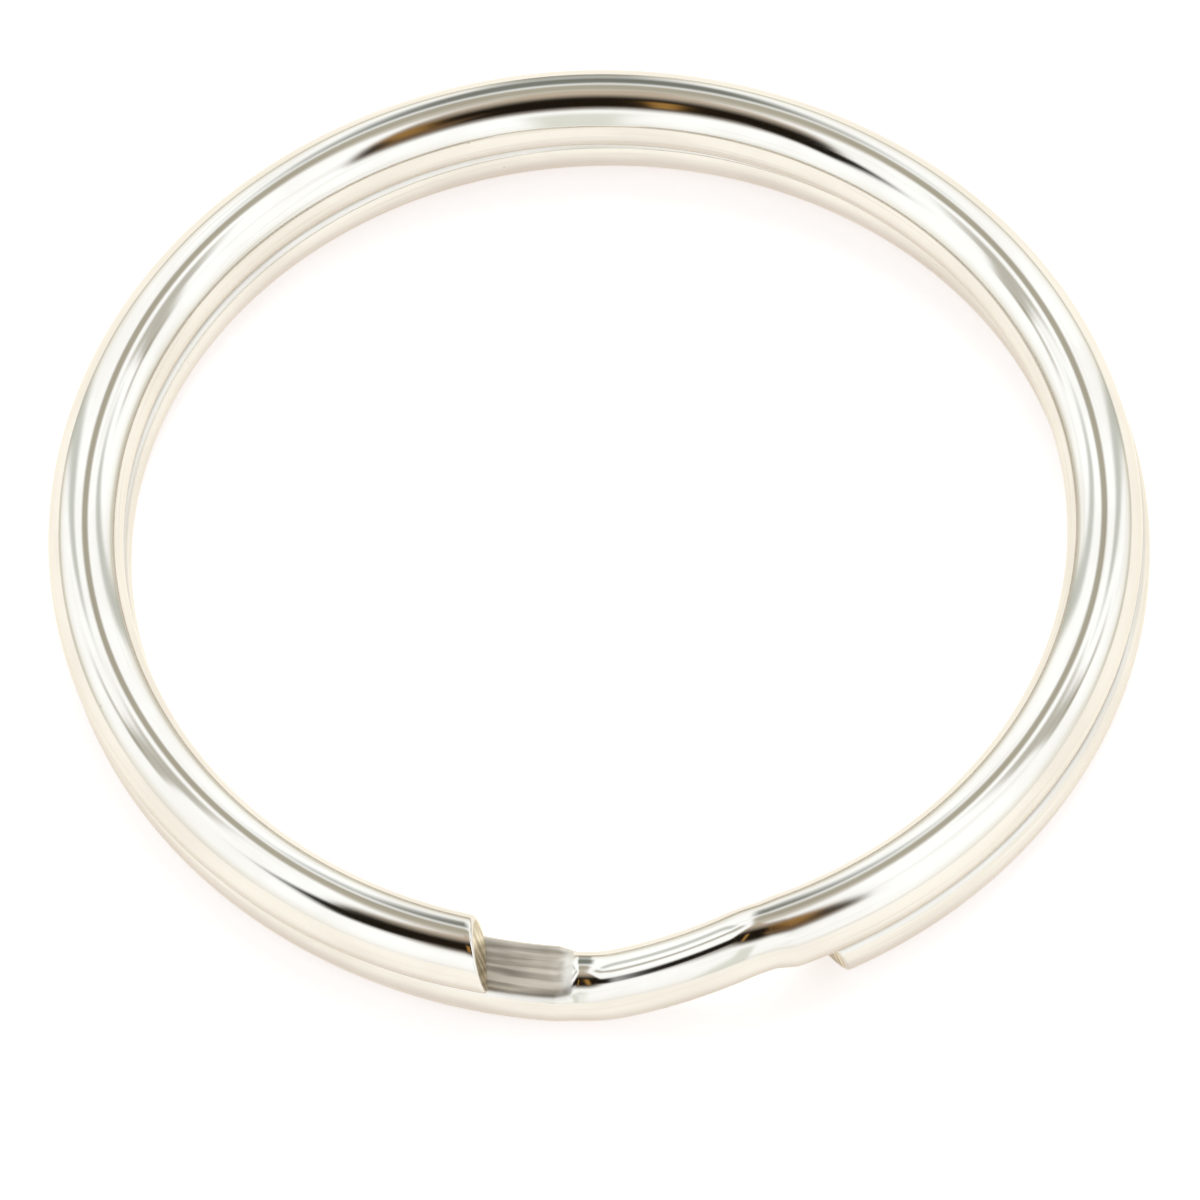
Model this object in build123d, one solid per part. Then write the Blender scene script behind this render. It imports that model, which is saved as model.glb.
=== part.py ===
from build123d import *
import math
import os

# Split ring: one length of round spring wire wound into two turns that lie on each other.
# Where the turns press together the wire is coined flat. Between the two cut ends one short
# joggle of wire, still round, climbs from the lower turn to the upper one.
# Millimetres and degrees. The ring lies flat, +Z up, with its joggle on the -Y side. Angles
# run about Z from +X, counter-clockwise from above, which is the way the wire climbs.

# Ring and wire
outer_diameter = 25.0        # of one turn, over the wire
wire_diameter = 1.58         # round stock, seen at the joggle
pressed_width = 1.73         # the wire's radial width where it is coined
turn_thickness = 1.37        # from a turn's round side to its coined face
coined_edge_radius = 0.28    # soft edge along both sides of the coined face
turn_gap = 0.04              # spring-back clearance between the two coined faces
turn_shift_x = -0.17         # how far the upper turn sits off the lower one
turn_shift_y = -0.11

# Joggle
joggle_angle = -95.0         # where the round wire leaves the lower turn's level
joggle_slope = 18.5          # steepest climb
joggle_foot_length = 1.2     # bend at the bottom of the climb
joggle_top_length = 0.8      # tighter bend at its top
shoulder_length = 0.45       # run-out of the coining die, from coined to round wire
joggle_sections = 16         # steps of the round section along the climb

# Cut ends
open_flat_length = 1.55      # coined face left open between shoulder and upper cut end
lower_end_setback = 0.7      # from the upper shoulder to the lower cut end below it
cut_skew = 15.0              # the shear crosses the wire at an angle, seen from above
cut_lean = 13.0              # and leans over the wire's height
cut_edge_radius = 0.07       # rolled edge left by the shear

total_height = 2 * turn_thickness + turn_gap
mean_radius = (outer_diameter - pressed_width) / 2
pressed_radius = pressed_width / 2
coined_height = turn_thickness - pressed_radius
joggle_rise = total_height - wire_diameter
steepest = math.tan(math.radians(joggle_slope))
degrees_per_mm = math.degrees(1 / mean_radius)

lower_centre = Vector(-turn_shift_x / 2, -turn_shift_y / 2)
upper_centre = -lower_centre


def joggle_length():
    """Level distance of the whole climb: each bend adds half its length to the straight slope."""
    return joggle_rise / steepest + (joggle_foot_length + joggle_top_length) / 2


def height_gained(distance, bend_length):
    """Height over a level distance that starts with a bend: the slope swells as half a cosine."""
    bent = min(distance, bend_length)
    swelling = bent - bend_length / math.pi * math.sin(math.pi * bent / bend_length)
    return steepest * (swelling / 2 + distance - bent)


def joggle_climb(distance):
    """Height and tilt of the centre line after a level distance from the joggle's start."""
    to_go = joggle_length() - distance
    if to_go < joggle_top_length:
        climbed = joggle_rise - height_gained(to_go, joggle_top_length)
        share = to_go / joggle_top_length
    else:
        climbed = height_gained(distance, joggle_foot_length)
        share = min(distance / joggle_foot_length, 1)
    slope = steepest * (1 - math.cos(math.pi * share)) / 2
    return climbed, math.atan(slope)


def directions(angle):
    """Unit vectors at an angle about the ring's axis: away from the axis, and along the wire."""
    turned = math.radians(angle)
    outward = Vector(math.cos(turned), math.sin(turned), 0)
    return outward, Vector(-outward.Y, outward.X, 0)


def on_centre_line(centre, angle, height):
    """Point in the middle of the wire."""
    outward, _ = directions(angle)
    return centre + outward * mean_radius + Vector(0, 0, height)


def radial_plane(centre, angle, height, flat_up, tilt=0.0):
    """Plane across the wire: X points away from the ring's axis, Y to the coined side."""
    outward, along = directions(angle)
    climb = along * math.cos(tilt) + Vector(0, 0, math.sin(tilt))
    origin = on_centre_line(centre, angle, height)
    return Plane(origin, x_dir=outward, z_dir=climb * (-1 if flat_up else 1))


def corner_centre():
    """Centre of the soft edge that joins the wire's round side to its coined face."""
    reach = pressed_radius - coined_edge_radius
    y = coined_height - coined_edge_radius
    return math.sqrt(reach**2 - y**2), y


def corner_angles():
    """Directions from the wire's centre to the two ends of that soft edge."""
    x, y = corner_centre()
    return math.degrees(math.atan2(y, x)), math.degrees(math.atan2(coined_height, x))


def coined_section():
    """Round wire with one side pressed flat: a long arc, two soft edges and the flat."""
    x, y = corner_centre()
    low, _ = corner_angles()
    around = CenterArc((0, 0), pressed_radius, 180 - low, 180 + 2 * low)
    right = CenterArc((x, y), coined_edge_radius, low, 90 - low)
    flat = Line((x, coined_height), (-x, coined_height))
    left = CenterArc((-x, y), coined_edge_radius, 90, 90 - low)
    return make_face([around, right, flat, left])


def round_section(centre_y=0.0):
    """Uncoined wire, split where the coined section has its corners."""
    low, high = corner_angles()
    stops = [180 - low, 360 + low, 360 + high, 540 - high, 540 - low]
    pairs = zip(stops, stops[1:])
    return make_face([CenterArc((0, centre_y), wire_diameter / 2, a, b - a) for a, b in pairs])


def turn(centre, start, stop, height, flat_up):
    """One coined turn, from one angle to the other."""
    section = radial_plane(centre, start, height, flat_up) * coined_section()
    axis = Axis((centre.X, centre.Y, 0), (0, 0, 1))
    return revolve(section, axis, stop - start)


def cut_end(body, centre, angle, height, side):
    """Shear one end of a turn off with a skewed, leaning face, and roll its edge."""
    outward, along = directions(angle)
    skew = math.tan(math.radians(cut_skew))
    lean = Vector(0, 0, math.tan(math.radians(cut_lean)))
    origin = on_centre_line(centre, angle, height)
    face_plane = Plane(origin, x_dir=outward + along * skew,
                       z_dir=(along - outward * skew + lean) * side)
    block = Box(3 * pressed_width, 3 * pressed_width, 2 * pressed_width,
                align=(Align.CENTER, Align.CENTER, Align.MIN))
    waste = face_plane * block
    body = body - waste
    end_face = body.faces().sort_by_distance(origin)[0]
    return fillet(end_face.edges(), cut_edge_radius)


def shoulder(centre, coined_angle, round_angle, height, flat_up):
    """Short run-out of the coined face, where the wire comes back to round."""
    coined = radial_plane(centre, coined_angle, height, flat_up) * coined_section()
    lowered = (wire_diameter - pressed_width) / 2
    full = radial_plane(centre, round_angle, height, flat_up) * round_section(lowered)
    return loft([coined, full], ruled=True)


def joggle(start, stop):
    """Round wire lofted along the climb, drifting from the lower centre to the upper one."""
    sections = []
    for step in range(joggle_sections + 1):
        share = step / joggle_sections
        climbed, tilt = joggle_climb(share * joggle_length())
        drift = climbed / joggle_rise
        centre = lower_centre * (1 - drift) + upper_centre * drift
        angle = start + share * (stop - start)
        height = wire_diameter / 2 + climbed
        sections.append(radial_plane(centre, angle, height, True, tilt) * round_section())
    return loft(sections)


def skin(piece, *crossings):
    """A piece's faces without the flat ones across the wire at these points of its centre line."""
    inner = [piece.faces().sort_by_distance(crossing)[0] for crossing in crossings]
    return [face for face in piece.faces() if not any(face.is_same(cap) for cap in inner)]


def split_ring():
    """The whole wire in order, from the lower cut end to the upper one, closed as one skin."""
    shoulder_angle = shoulder_length * degrees_per_mm
    climb_start = joggle_angle + 360
    climb_stop = climb_start + joggle_length() * degrees_per_mm
    lower_stop = climb_start - shoulder_angle
    upper_start = climb_stop + shoulder_angle
    lower_end = upper_start + lower_end_setback * degrees_per_mm - 360
    upper_end = lower_stop - open_flat_length * degrees_per_mm + 360
    spare = pressed_width * degrees_per_mm

    low_height = pressed_radius
    high_height = total_height - pressed_radius
    lower = turn(lower_centre, lower_end - spare, lower_stop, low_height, True)
    lower = cut_end(lower, lower_centre, lower_end, low_height, -1)
    foot = shoulder(lower_centre, lower_stop, climb_start, low_height, True)
    climb = joggle(climb_start, climb_stop)
    top = shoulder(upper_centre, upper_start, climb_stop, high_height, False)
    upper = turn(upper_centre, upper_start, upper_end + spare, high_height, False)
    upper = cut_end(upper, upper_centre, upper_end, high_height, 1)

    lower_to_foot = on_centre_line(lower_centre, lower_stop, low_height)
    foot_to_climb = on_centre_line(lower_centre, climb_start, wire_diameter / 2)
    climb_to_top = on_centre_line(upper_centre, climb_stop, total_height - wire_diameter / 2)
    top_to_upper = on_centre_line(upper_centre, upper_start, high_height)
    faces = skin(lower, lower_to_foot) + skin(foot, lower_to_foot, foot_to_climb)
    faces += skin(climb, foot_to_climb, climb_to_top) + skin(top, climb_to_top, top_to_upper)
    faces += skin(upper, top_to_upper)
    return Solid(Shell(faces))


def on_the_table(shape):
    """Origin at the middle of the footprint, on the surface that the ring lies on."""
    box = shape.bounding_box()
    middle = box.center()
    return Pos(-middle.X, -middle.Y, -box.min.Z) * shape


os.makedirs("parts", exist_ok=True)
export_step(on_the_table(split_ring()), "parts/split_ring.step")
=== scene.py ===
import bpy
import math
import numpy as np
from mathutils import Matrix, Vector


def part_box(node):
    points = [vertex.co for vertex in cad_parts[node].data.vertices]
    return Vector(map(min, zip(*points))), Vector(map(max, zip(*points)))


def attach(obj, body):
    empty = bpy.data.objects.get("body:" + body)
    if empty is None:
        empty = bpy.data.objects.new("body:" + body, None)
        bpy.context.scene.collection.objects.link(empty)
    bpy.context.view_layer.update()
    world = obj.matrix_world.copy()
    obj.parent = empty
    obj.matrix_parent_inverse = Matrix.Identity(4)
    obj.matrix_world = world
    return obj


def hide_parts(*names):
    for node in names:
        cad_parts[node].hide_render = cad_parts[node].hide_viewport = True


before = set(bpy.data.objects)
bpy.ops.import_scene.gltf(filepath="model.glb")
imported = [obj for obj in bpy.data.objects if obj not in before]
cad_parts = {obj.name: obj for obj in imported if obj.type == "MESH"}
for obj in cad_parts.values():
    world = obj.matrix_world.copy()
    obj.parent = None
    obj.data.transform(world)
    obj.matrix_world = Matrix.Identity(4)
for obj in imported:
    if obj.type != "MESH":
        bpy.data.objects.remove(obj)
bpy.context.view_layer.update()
low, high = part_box("split_ring")
mm = 0.001

# The wire: one length of spring-steel wire, wound cold into two turns that spring together.
# A coining die has pressed a flat along both turns where they touch. Between the two sheared
# ends a short joggle, left round, climbs from the lower turn to the upper one.
outer_radius = 12.5 * mm            # of either turn, over the wire
pressed_radius = 0.865 * mm         # of the coined wire's round side
round_radius = 0.79 * mm            # of the wire where no die touched it
coined_height = 0.505 * mm          # from the wire's centre to its coined face
soft_edge = 0.28 * mm               # radius of the coined face's two edges
upper_turn_back = 0.11 * mm         # the upper turn sits this much nearer the joggle's side
joggle_slope = math.tan(math.radians(18.5))
foot_bend = 1.2 * mm                # level length of the bend at the joggle's bottom
top_bend = 0.8 * mm                 # and of the sharper one at its top
shoulder_length = 0.45 * mm
open_flat_length = 1.55 * mm
lower_end_setback = 0.7 * mm
cut_skew = math.tan(math.radians(15))
cut_lean = math.tan(math.radians(13))
rolled_edge = 0.07 * mm
cut_blend = 2.6 * mm                # length over which the mesh rows turn to follow the cut
face_shares = np.array([0.92, 0.8, 0.65, 0.5, 0.35, 0.18])     # a cut face's rows, by radius

mean_radius = outer_radius - pressed_radius
height = high.z - low.z
rise = height - 2 * round_radius
lower_centre = np.array([high.x - outer_radius, high.y - outer_radius])
upper_centre = np.array([low.x + outer_radius, high.y - outer_radius - upper_turn_back])

joggle_length = rise / joggle_slope + (foot_bend + top_bend) / 2
climb_start = math.radians(265)     # angles from +X, counter-clockwise, as the wire climbs
climb_stop = climb_start + joggle_length / mean_radius
lower_stop = climb_start - shoulder_length / mean_radius
upper_start = climb_stop + shoulder_length / mean_radius
lower_end = upper_start + lower_end_setback / mean_radius - 2 * math.pi
upper_end = lower_stop - open_flat_length / mean_radius + 2 * math.pi


def corner_span():
    """Directions, from the wire's centre, of the two ends of the coined face's soft edge."""
    up = coined_height - soft_edge
    across = math.sqrt((pressed_radius - soft_edge)**2 - up**2)
    return math.atan2(up, across), math.atan2(coined_height, across)


def folded(direction):
    """The same direction in the quarter where 0 is across the wire and 90 degrees the coined side."""
    return np.arctan2(np.sin(direction), np.abs(np.cos(direction)))


def coined_reach(direction):
    """Distance from the wire's centre to the coined outline, in polar form.

    A direction of 90 degrees is the coined face's. Up to the corner the reach is the round
    side's radius, then that of a small circle tangent to it, then height / sine on the flat.
    """
    start, stop = corner_span()
    corner_out = pressed_radius - soft_edge
    turned = folded(direction)
    edge = corner_out * np.cos(turned - start)
    edge += np.sqrt(np.maximum(soft_edge**2 - (corner_out * np.sin(turned - start))**2, 0))
    flat = coined_height / np.maximum(np.sin(turned), 0.1)
    return np.where(turned < start, pressed_radius, np.where(turned < stop, edge, flat))


def directions_round_the_wire(count):
    """Directions of the outline's points, four times denser at the four possible corners."""
    corner, spread = math.radians(33), math.radians(12)
    samples = 7201
    fine = np.linspace(0, 2 * math.pi, samples)
    density = 1 + 3 * np.exp(-((np.arctan(np.abs(np.tan(fine))) - corner) / spread)**2)
    travelled = np.concatenate([[0], np.cumsum((density[1:] + density[:-1]) / 2)])
    return np.interp(np.arange(count) / count, travelled / travelled[-1], fine)


def gained(distance, bend):
    """Height over a level distance that starts with a bend: the slope swells as half a cosine."""
    bent = np.minimum(distance, bend)
    swelling = bent - bend / math.pi * np.sin(math.pi * bent / bend)
    return joggle_slope * (swelling / 2 + distance - bent)


def climb(angle):
    """Rise and tilt of the joggle: a bend up, a straight slope and a shorter bend to level."""
    distance = np.clip((angle - climb_start) * mean_radius, 0, joggle_length)
    to_go = joggle_length - distance
    on_top = to_go < top_bend
    risen = np.where(on_top, rise - gained(to_go, top_bend), gained(distance, foot_bend))
    share = np.minimum(np.where(on_top, to_go / top_bend, distance / foot_bend), 1)
    return risen, np.arctan(joggle_slope * (1 - np.cos(math.pi * share)) / 2)


def wire_rows(angle, around, inset=0.0, forward=0.0, shrink=1.0):
    """Cross rows of the wire: rows by angle along it, columns by direction round it.

    The outline is mixed from the coined and the round one, set at its turn's centre and
    height, tilted in the joggle, and slid along the wire so that the rows at a cut end lie
    in its plane: distance = across * tan(skew) - up * tan(lean). Each point has its place,
    its place on the wire before it was wound, and how far it is pressed flat.
    """
    angle = np.asarray(angle, float)[:, None]
    upper = angle > (climb_start + climb_stop) / 2
    side = np.where(upper, -1.0, 1.0)
    stops = [lower_stop, climb_start, climb_stop, upper_start]
    roundness = np.interp(angle, stops, [0, 1, 1, 0])
    climbed, tilt = climb(angle)

    reach = (coined_reach(around * side) - inset) * shrink
    coined_middle = np.where(upper, height - pressed_radius, pressed_radius)
    round_reach = (round_radius - inset) * shrink
    across = ((1 - roundness) * reach + roundness * round_reach) * np.cos(around)
    coined_up = reach * np.sin(around)
    round_up = round_reach * np.sin(around) * np.cos(tilt)
    middle = (1 - roundness) * coined_middle + roundness * (round_radius + climbed)
    up = (1 - roundness) * coined_up + roundness * round_up
    back = roundness * round_reach * np.sin(around) * np.sin(tilt)

    near_end = np.minimum(angle - lower_end, upper_end - angle) * mean_radius
    follow = np.clip(1 - near_end / cut_blend, 0, 1)
    follow = follow * follow * (3 - 2 * follow)
    cut = follow * (across * cut_skew - up * cut_lean)
    radius = mean_radius + across
    turned = angle + (cut - back + forward) / radius

    drift = (climbed / rise)[..., None]
    centre = lower_centre * (1 - drift) + upper_centre * drift
    x = centre[..., 0] + radius * np.cos(turned)
    y = centre[..., 1] + radius * np.sin(turned)
    z = low.z + middle + up
    start, stop = corner_span()
    pressed = (1 - roundness) * np.clip((folded(around * side) - start) / (stop - start), 0, 1)
    return np.stack([x, y, z, turned * mean_radius, across, up, pressed], axis=-1)


def end_rows(angle, outwards, around):
    """Rows that close a cut end: a quarter circle round its rolled edge, then its face."""
    quarter = np.radians([15, 32, 50, 70, 90])
    rows = [wire_rows([angle], around, inset=rolled_edge * (1 - math.cos(a)),
                      forward=outwards * rolled_edge * (math.sin(a) - 1))
            for a in quarter]
    rows += [wire_rows([angle], around, inset=rolled_edge, shrink=share) for share in face_shares]
    return np.concatenate(rows)


def stretch(start, stop, step):
    """Evenly spaced angles from start up to stop, without stop."""
    return np.linspace(start, stop, max(2, round((stop - start) / step)), endpoint=False)


points_round = 152
turn_step = math.radians(1.5)
end_step = math.radians(0.7)        # closer rows near the cut ends
shoulder_step = shoulder_length / mean_radius / 8
joggle_step = (climb_stop - climb_start) / 44
edge_angle = rolled_edge / mean_radius
blend_angle = cut_blend / mean_radius
around = directions_round_the_wire(points_round)
along = np.concatenate([
    stretch(lower_end + edge_angle, lower_end + blend_angle, end_step),
    stretch(lower_end + blend_angle, lower_stop, turn_step),
    stretch(lower_stop, climb_start, shoulder_step),
    stretch(climb_start, climb_stop, joggle_step),
    stretch(climb_stop, upper_start, shoulder_step),
    stretch(upper_start, upper_end - blend_angle, turn_step),
    stretch(upper_end - blend_angle, upper_end - edge_angle, end_step),
    [upper_end - edge_angle],
])
first_cap = end_rows(lower_end, -1, around)[::-1]
last_cap = end_rows(upper_end, 1, around)
rows = np.concatenate([first_cap, wire_rows(along, around), last_cap])
row_count, column_count = rows.shape[:2]
poles = rows[[0, -1]].mean(axis=1)
places = np.concatenate([rows.reshape(row_count * column_count, -1), poles])

index = np.arange(row_count * column_count).reshape(row_count, column_count)
after = np.roll(index, -1, axis=1)
quads = np.stack([index[:-1], index[1:], after[1:], after[:-1]], axis=-1).reshape(-1, 4)
first_pole, last_pole = row_count * column_count, row_count * column_count + 1
first_fan = np.stack([index[0], after[0], np.full(column_count, first_pole)], axis=-1)
last_fan = np.stack([after[-1], index[-1], np.full(column_count, last_pole)], axis=-1)

wire_mesh = bpy.data.meshes.new("ring_wire")
wire_mesh.from_pydata(places[:, :3].tolist(), [],
                      quads.tolist() + first_fan.tolist() + last_fan.tolist())
wire_mesh.shade_smooth()
ring_wire = bpy.data.objects.new("ring_wire", wire_mesh)
bpy.context.scene.collection.objects.link(ring_wire)

# For the finish below: each point's place on the straight wire, and where it is pressed or cut.
cap_rows = np.zeros(row_count)
cap_rows[:face_shares.size] = cap_rows[-face_shares.size:] = 1
sheared = np.concatenate([np.repeat(cap_rows, column_count), [1, 1]])
marks = {"straightened": ("FLOAT_VECTOR", "vector", places[:, 3:6]),
         "pressed": ("FLOAT", "value", places[:, 6] * (1 - sheared)),
         "sheared": ("FLOAT", "value", sheared)}
for name, (kind, field, values) in marks.items():
    mark = wire_mesh.attributes.new(name, kind, "POINT")
    mark.data.foreach_set(field, values.astype(np.float32).ravel())

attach(ring_wire, "root")
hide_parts("split_ring")


# Bright nickel: a barrel-plated coat over the steel, mirror bright on the round sides and
# duller on the pressed flats, with the faint lengthwise lines of the drawn wire under it.
class Signal:
    """A socket of a node tree. Operators add Math nodes, and node() adds any node."""

    def __init__(self, tree, socket=None):
        self.tree, self.socket = tree, socket

    def node(self, kind, settings=None, values=None, output=0):
        """Adds a node: its settings first, then its sockets' values or links."""
        made = self.tree.nodes.new("ShaderNode" + kind)
        for name, value in (settings or {}).items():
            setattr(made, name, value)
        for name, value in (values or {}).items():
            if isinstance(value, Signal):
                self.tree.links.new(value.socket, made.inputs[name])
            else:
                made.inputs[name].default_value = value
        return Signal(self.tree, made.outputs[output] if made.outputs else None)

    def math(self, operation, first, second=0.0):
        """A Math node on numbers and signals."""
        return self.node("Math", {"operation": operation}, {0: first, 1: second})

    def __add__(self, other):
        return self.math("ADD", self, other)

    def __sub__(self, other):
        return self.math("SUBTRACT", self, other)

    def __rsub__(self, other):
        return self.math("SUBTRACT", other, self)

    def __mul__(self, other):
        return self.math("MULTIPLY", self, other)

    def __truediv__(self, other):
        return self.math("DIVIDE", self, other)

    def __rtruediv__(self, other):
        return self.math("DIVIDE", other, self)

    __radd__, __rmul__ = __add__, __mul__

    def ramp(self, start, stop):
        """0 below start, 1 above stop, smooth between; falls instead if start > stop."""
        flip = start > stop
        values = {"Value": self, "From Min": min(start, stop), "From Max": max(start, stop),
                  "To Min": 1.0 if flip else 0.0, "To Max": 0.0 if flip else 1.0}
        return self.node("MapRange", {"interpolation_type": "SMOOTHSTEP"}, values)

    def mix(self, without, with_it):
        """A colour between two colours, by this signal."""
        return self.node("Mix", {"data_type": "RGBA"}, {0: self, 6: without, 7: with_it}, output=2)


def new_finish(name):
    """An empty material and its first signal."""
    finish = bpy.data.materials.new(name)
    finish.use_nodes = True
    finish.node_tree.nodes.clear()
    return finish, Signal(finish.node_tree)


nickel, steel = new_finish("bright_nickel")
place = steel.node("Attribute", {"attribute_name": "straightened"}, output=1)
pressed = steel.node("Attribute", {"attribute_name": "pressed"}, output=2)
sheared = steel.node("Attribute", {"attribute_name": "sheared"}, output=2)


def lines(scale, shares, detail=2.0):
    """Noise drawn out: its scale, and the share of it along, across and up through the wire."""
    drawn = place.node("Mapping", {"vector_type": "POINT"}, {"Vector": place, "Scale": shares})
    return drawn.node("TexNoise", values={"Vector": drawn, "Scale": scale, "Detail": detail})


draw_lines = lines(9000.0, (0.02, 1.0, 1.0))
press_lines = lines(5200.0, (0.06, 1.0, 0.3), 3.0)
press_marks = lines(1500.0, (0.45, 1.0, 0.3))
cut_lines = lines(5500.0, (0.3, 1.0, 0.1))
haze = lines(900.0, (0.35, 1.0, 1.0), 4.0)
bends = lines(260.0, (1.0, 1.0, 1.0), 1.0)
pits = place.node("TexVoronoi", values={"Vector": place, "Scale": 620.0}).ramp(0.034, 0.012)

plated = haze.ramp(0.35, 0.7).mix((0.745, 0.70, 0.63, 1), (0.69, 0.64, 0.57, 1))
plated = (draw_lines.ramp(0.52, 0.75) * 0.5).mix(plated, (0.61, 0.56, 0.48, 1))
shade = press_lines.ramp(0.40, 0.62) * 0.6 + press_marks.ramp(0.35, 0.65) * 0.4
coined = shade.mix((0.24, 0.21, 0.165, 1), (0.65, 0.575, 0.475, 1))
cut = cut_lines.ramp(0.42, 0.58).mix((0.46, 0.38, 0.24, 1), (0.84, 0.76, 0.56, 1))
colour = pressed.ramp(0.4, 0.9).mix(plated, coined)
colour = sheared.mix(colour, cut)
colour = (pits * 0.6).mix(colour, (0.30, 0.25, 0.19, 1))

rough = 0.045 + 0.05 * haze + 0.03 * draw_lines
rough = rough + pressed.ramp(0.02, 0.30) * (0.20 + 0.20 * press_marks)
rough = rough + sheared * (0.14 + 0.2 * cut_lines) + pits * 0.3
relief = draw_lines * 0.5 + press_lines * (2.0 * pressed) + cut_lines * (2.0 * sheared) - pits
ripple = bends.node("Bump", values={"Strength": 1.0, "Distance": 0.03 * mm, "Height": bends})
grain = relief.node("Bump", values={"Strength": 1.0, "Distance": 0.0012 * mm,
                                    "Height": relief, "Normal": ripple})
bright = steel.node("BsdfPrincipled", values={
    "Base Color": colour, "Metallic": 1.0, "Roughness": rough, "Normal": grain,
    "Specular Tint": (0.93, 0.89, 0.83, 1)})
steel.node("OutputMaterial", values={"Surface": bright})
wire_mesh.materials.append(nickel)

# The table: a plain pale board, far wider than the ring. It is not part of the object. It
# shows white to the camera and in the metal, and keeps the ring's shadow.
table_half = 2.0
table_mesh = bpy.data.meshes.new("table_top")
table_mesh.from_pydata(
    [(x * table_half, y * table_half, low.z) for x, y in ((-1, -1), (1, -1), (1, 1), (-1, 1))],
    [], [(0, 1, 2, 3)])
table_top = bpy.data.objects.new("table_top", table_mesh)
bpy.context.scene.collection.objects.link(table_top)

paper, board = new_finish("white_paper")
matt = board.node("BsdfDiffuse", values={"Color": (0.57, 0.655, 0.645, 1)})
glow = board.node("Emission", values={"Color": (1.0, 0.87, 0.88, 1), "Strength": 0.61})
dark = board.node("Emission", values={"Strength": 0.0})
seen = board.node("LightPath", output="Is Camera Ray")
mirrored = board.node("LightPath", output="Is Glossy Ray")
through = board.node("LightPath", output="Is Transmission Ray")
shown = seen.math("MAXIMUM", seen.math("MAXIMUM", seen, mirrored), through)
lift = board.node("MixShader", values={0: shown, 1: dark, 2: glow})
board.node("OutputMaterial", values={
    "Surface": board.node("AddShader", values={0: matt, 1: lift})})
table_mesh.materials.append(paper)

# The studio: a white dome over the table, one wide soft lamp, and what stands round the dome.
# The metal shows it all: the dome's seams and folds, a dark gap in the far wall, a stand on
# the near side, and whoever works the camera, as a dark wedge with one arm out to the side.
world = bpy.data.worlds.new("studio")
bpy.context.scene.world = world
world.use_nodes = True
world.node_tree.nodes.clear()
sky = Signal(world.node_tree)
ray = sky.node("TexCoord", output="Generated")
ray_x, ray_y, ray_z = (sky.node("SeparateXYZ", values={0: ray}, output=i) for i in range(3))
level = sky.math("SQRT", ray_x * ray_x + ray_y * ray_y + 1e-8)
polar = sky.math("ARCCOSINE", ray_z) * math.degrees(1)
azimuth = sky.math("ARCTAN2", ray_x, ray_y) * math.degrees(1)       # from +Y, towards +X
right = polar * ray_x / level       # degrees from the zenith, towards +X
far = polar * ray_y / level         # and towards +Y
aside = sky.math("ABSOLUTE", right)         # the same to both sides


def streak(x0, y0, x1, y1, half_width, fade, across=right):
    """Soft line of the dome from one place to another, in degrees from the zenith."""
    length = math.hypot(x1 - x0, y1 - y0)
    ux, uy = (x1 - x0) / length, (y1 - y0) / length
    run = (across - x0) * ux + (far - y0) * uy
    off = sky.math("ABSOLUTE", (far - y0) * ux - (across - x0) * uy)
    return (off.ramp(half_width * 1.4, half_width * 0.5)
            * run.ramp(-fade, fade) * run.ramp(length + fade, length - fade))


def seam(bearing, top, half_width):
    """Soft line straight down the dome at one azimuth, from a distance off the zenith."""
    off = sky.math("ABSOLUTE", azimuth - bearing) * level
    return off.ramp(half_width * 1.6, half_width * 0.3) * polar.ramp(top - 6, top + 3)


# The level crest of the wire mirrors one and the same place, opposite the camera.
crest_far = 33
round_crest = sky.math("SQRT", right * right + (far - crest_far) * (far - crest_far))
crown_right, crown_far = -1.13, 20.6        # the top of whoever stands at the camera
left_side = (far - crown_far) - 1.22 * (right - crown_right)
right_side = (far - crown_far) + 1.36 * (right - crown_right)
figure = left_side.ramp(3, -3) * right_side.ramp(3, -3) * polar.ramp(46, 26)
dark_clothes = figure * far.ramp(14, -8)
arm = streak(-16, -17, -37.5, -18, 9, 5)
trim = streak(-7.5, -10, -11, -27, 2.0, 4) + streak(11, 2, 17, -16, 2.4, 5) * 0.8
jacket = streak(15, -16, 22, -26, 5, 6)
neck = streak(0, 40, 0, 14, 7, 6)
gap = streak(0, 46, 0, 68, 10.5, 7) + streak(0, 68, 0, 100, 6, 8) * 0.7
stand = streak(0, -50, 0, -92, 10, 8)
seams = seam(-43, 40, 4) + seam(47, 40, 4)
folds = (streak(16, 22, 29, 13, 4.5, 4, aside) + streak(30, 15, 48, 8, 4, 4, aside)
         + streak(45, 12, 48, 21, 3.5, 4, aside) * 0.8)
foot = polar.ramp(62, 90) * (1 - 0.6 * far.ramp(-30, -60))
horizon = polar.ramp(78, 87) * (0.15 + 0.65 * far.ramp(-5, 20))

dome = foot.mix((1.38, 1.47, 1.58, 1), (1.16, 1.20, 1.18, 1))
for shape, colour in ((horizon, (0.80, 0.80, 0.72, 1)),
                      (seams * 0.8, (0.62, 0.68, 0.66, 1)),
                      (folds * 0.8, (0.50, 0.49, 0.42, 1)),
                      (stand * 0.9, (0.94, 1.01, 0.98, 1)),
                      (neck * 0.9, (0.66, 0.64, 0.57, 1)),
                      (round_crest.ramp(12, 4) * 0.85, (0.52, 0.51, 0.43, 1)),
                      (gap * 0.95, (0.20, 0.225, 0.20, 1)),
                      (figure * 0.9, (0.64, 0.54, 0.42, 1)),
                      (sky.math("MAXIMUM", dark_clothes, arm), (0.012, 0.008, 0.004, 1)),
                      (trim * figure * 0.75, (0.65, 0.36, 0.10, 1)),
                      (jacket * figure * 0.6, (0.38, 0.24, 0.125, 1))):
    dome = shape.mix(dome, colour)
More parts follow.
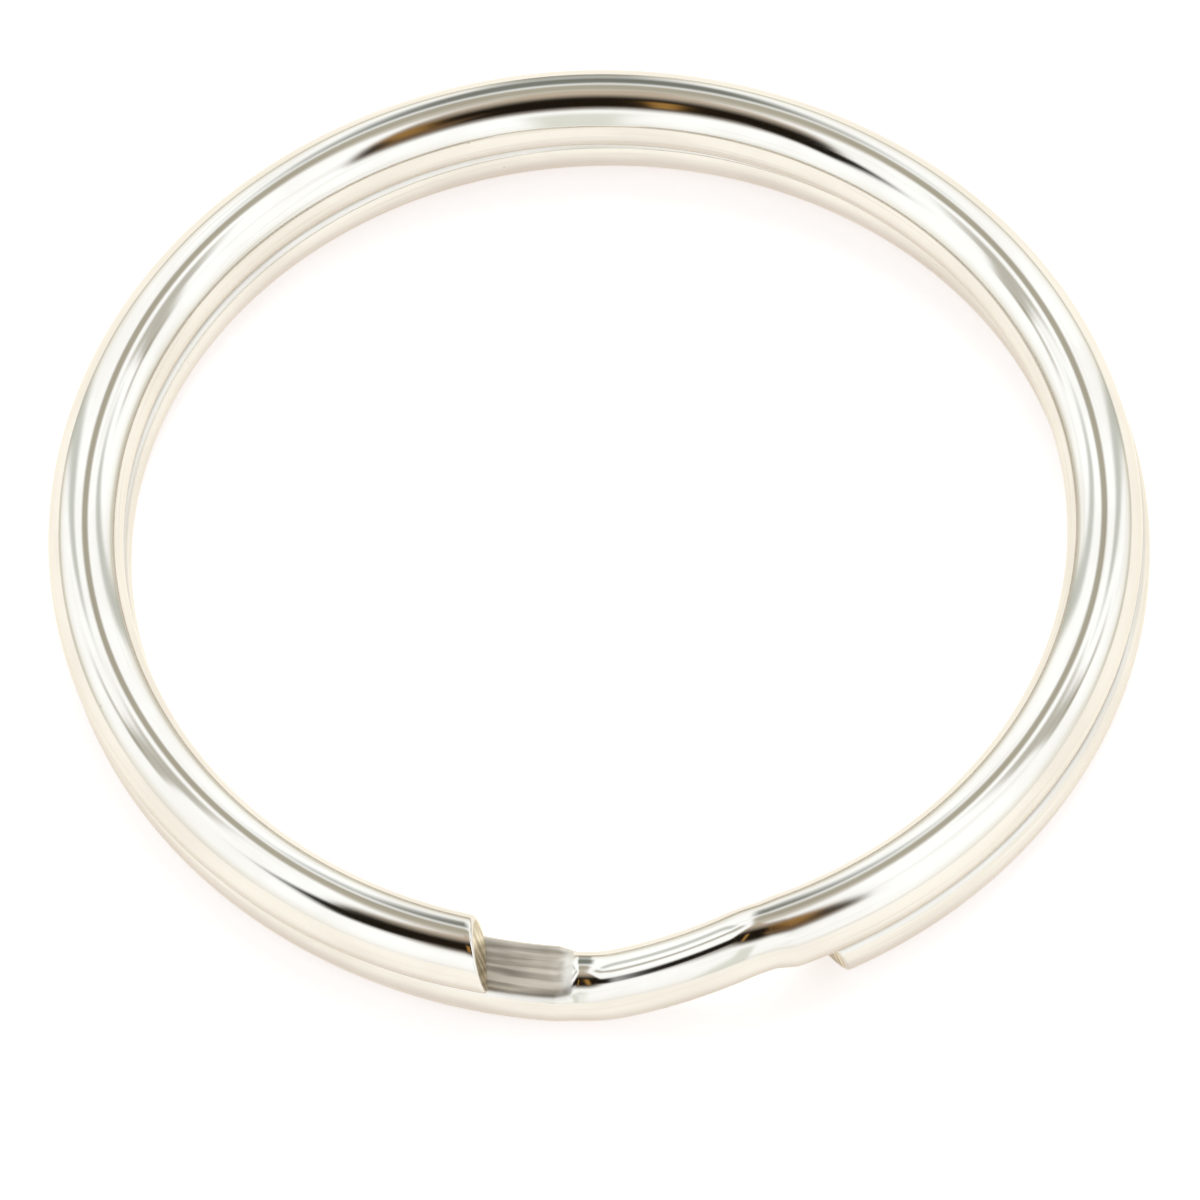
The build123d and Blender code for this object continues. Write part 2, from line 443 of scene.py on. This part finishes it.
plain = sky.node("Background", values={"Color": (1.0, 0.985, 0.965, 1), "Strength": 0.85})
white = sky.node("Background", values={"Color": (1, 1, 1, 1), "Strength": 1.0})
in_metal = sky.node("Background", values={"Color": dome, "Strength": 1.0})
is_glossy = sky.node("LightPath", output="Is Glossy Ray")
is_camera = sky.node("LightPath", output="Is Camera Ray")
surround = sky.node("MixShader", values={0: is_glossy, 1: plain, 2: in_metal})
sky.node("OutputWorld", values={
    "Surface": sky.node("MixShader", values={0: is_camera, 1: surround, 2: white})})

lamp = bpy.data.lights.new("soft_lamp", "AREA")
lamp.shape = "DISK"
lamp.size = 0.6
lamp.energy = 3.5
lamp.color = (1.0, 0.98, 0.95)
lamp.specular_factor = 0.0
soft_lamp = bpy.data.objects.new("soft_lamp", lamp)
soft_lamp.location = (0.05, 0.35, 0.75)
soft_lamp.rotation_euler = (-soft_lamp.location).to_track_quat("-Z", "Y").to_euler()
soft_lamp.visible_glossy = False
bpy.context.scene.collection.objects.link(soft_lamp)

# The camera: a long lens from the joggle's side, looking down, tipped a little to one side.
view_down = math.radians(57.24)
view_tip = math.radians(-2.389)
field_width = 27.4 * mm             # of the table's view, across the frame
ring_off_centre = (-0.017 * mm, 1.285 * mm)
camera_distance = 1.125

forwards = Vector((0, math.cos(view_down), -math.sin(view_down)))
level_right = Vector((1, 0, 0))
level_up = level_right.cross(forwards)
tipped_right = level_right * math.cos(view_tip) + level_up * math.sin(view_tip)
tipped_up = level_up * math.cos(view_tip) - level_right * math.sin(view_tip)
ring_middle = Vector((*(lower_centre + upper_centre) / 2, (low.z + high.z) / 2))
aim = ring_middle - tipped_right * ring_off_centre[0] - tipped_up * ring_off_centre[1]
lens = bpy.data.cameras.new("camera")
lens.sensor_width = 36
lens.lens = lens.sensor_width * camera_distance / field_width
lens.clip_end = 10
camera = bpy.data.objects.new("camera", lens)
turn = Matrix((tipped_right, tipped_up, -forwards)).transposed().to_4x4()
camera.matrix_world = Matrix.Translation(aim - forwards * camera_distance) @ turn
bpy.context.scene.collection.objects.link(camera)
bpy.context.scene.camera = camera
bpy.context.scene.view_settings.view_transform = "Standard"
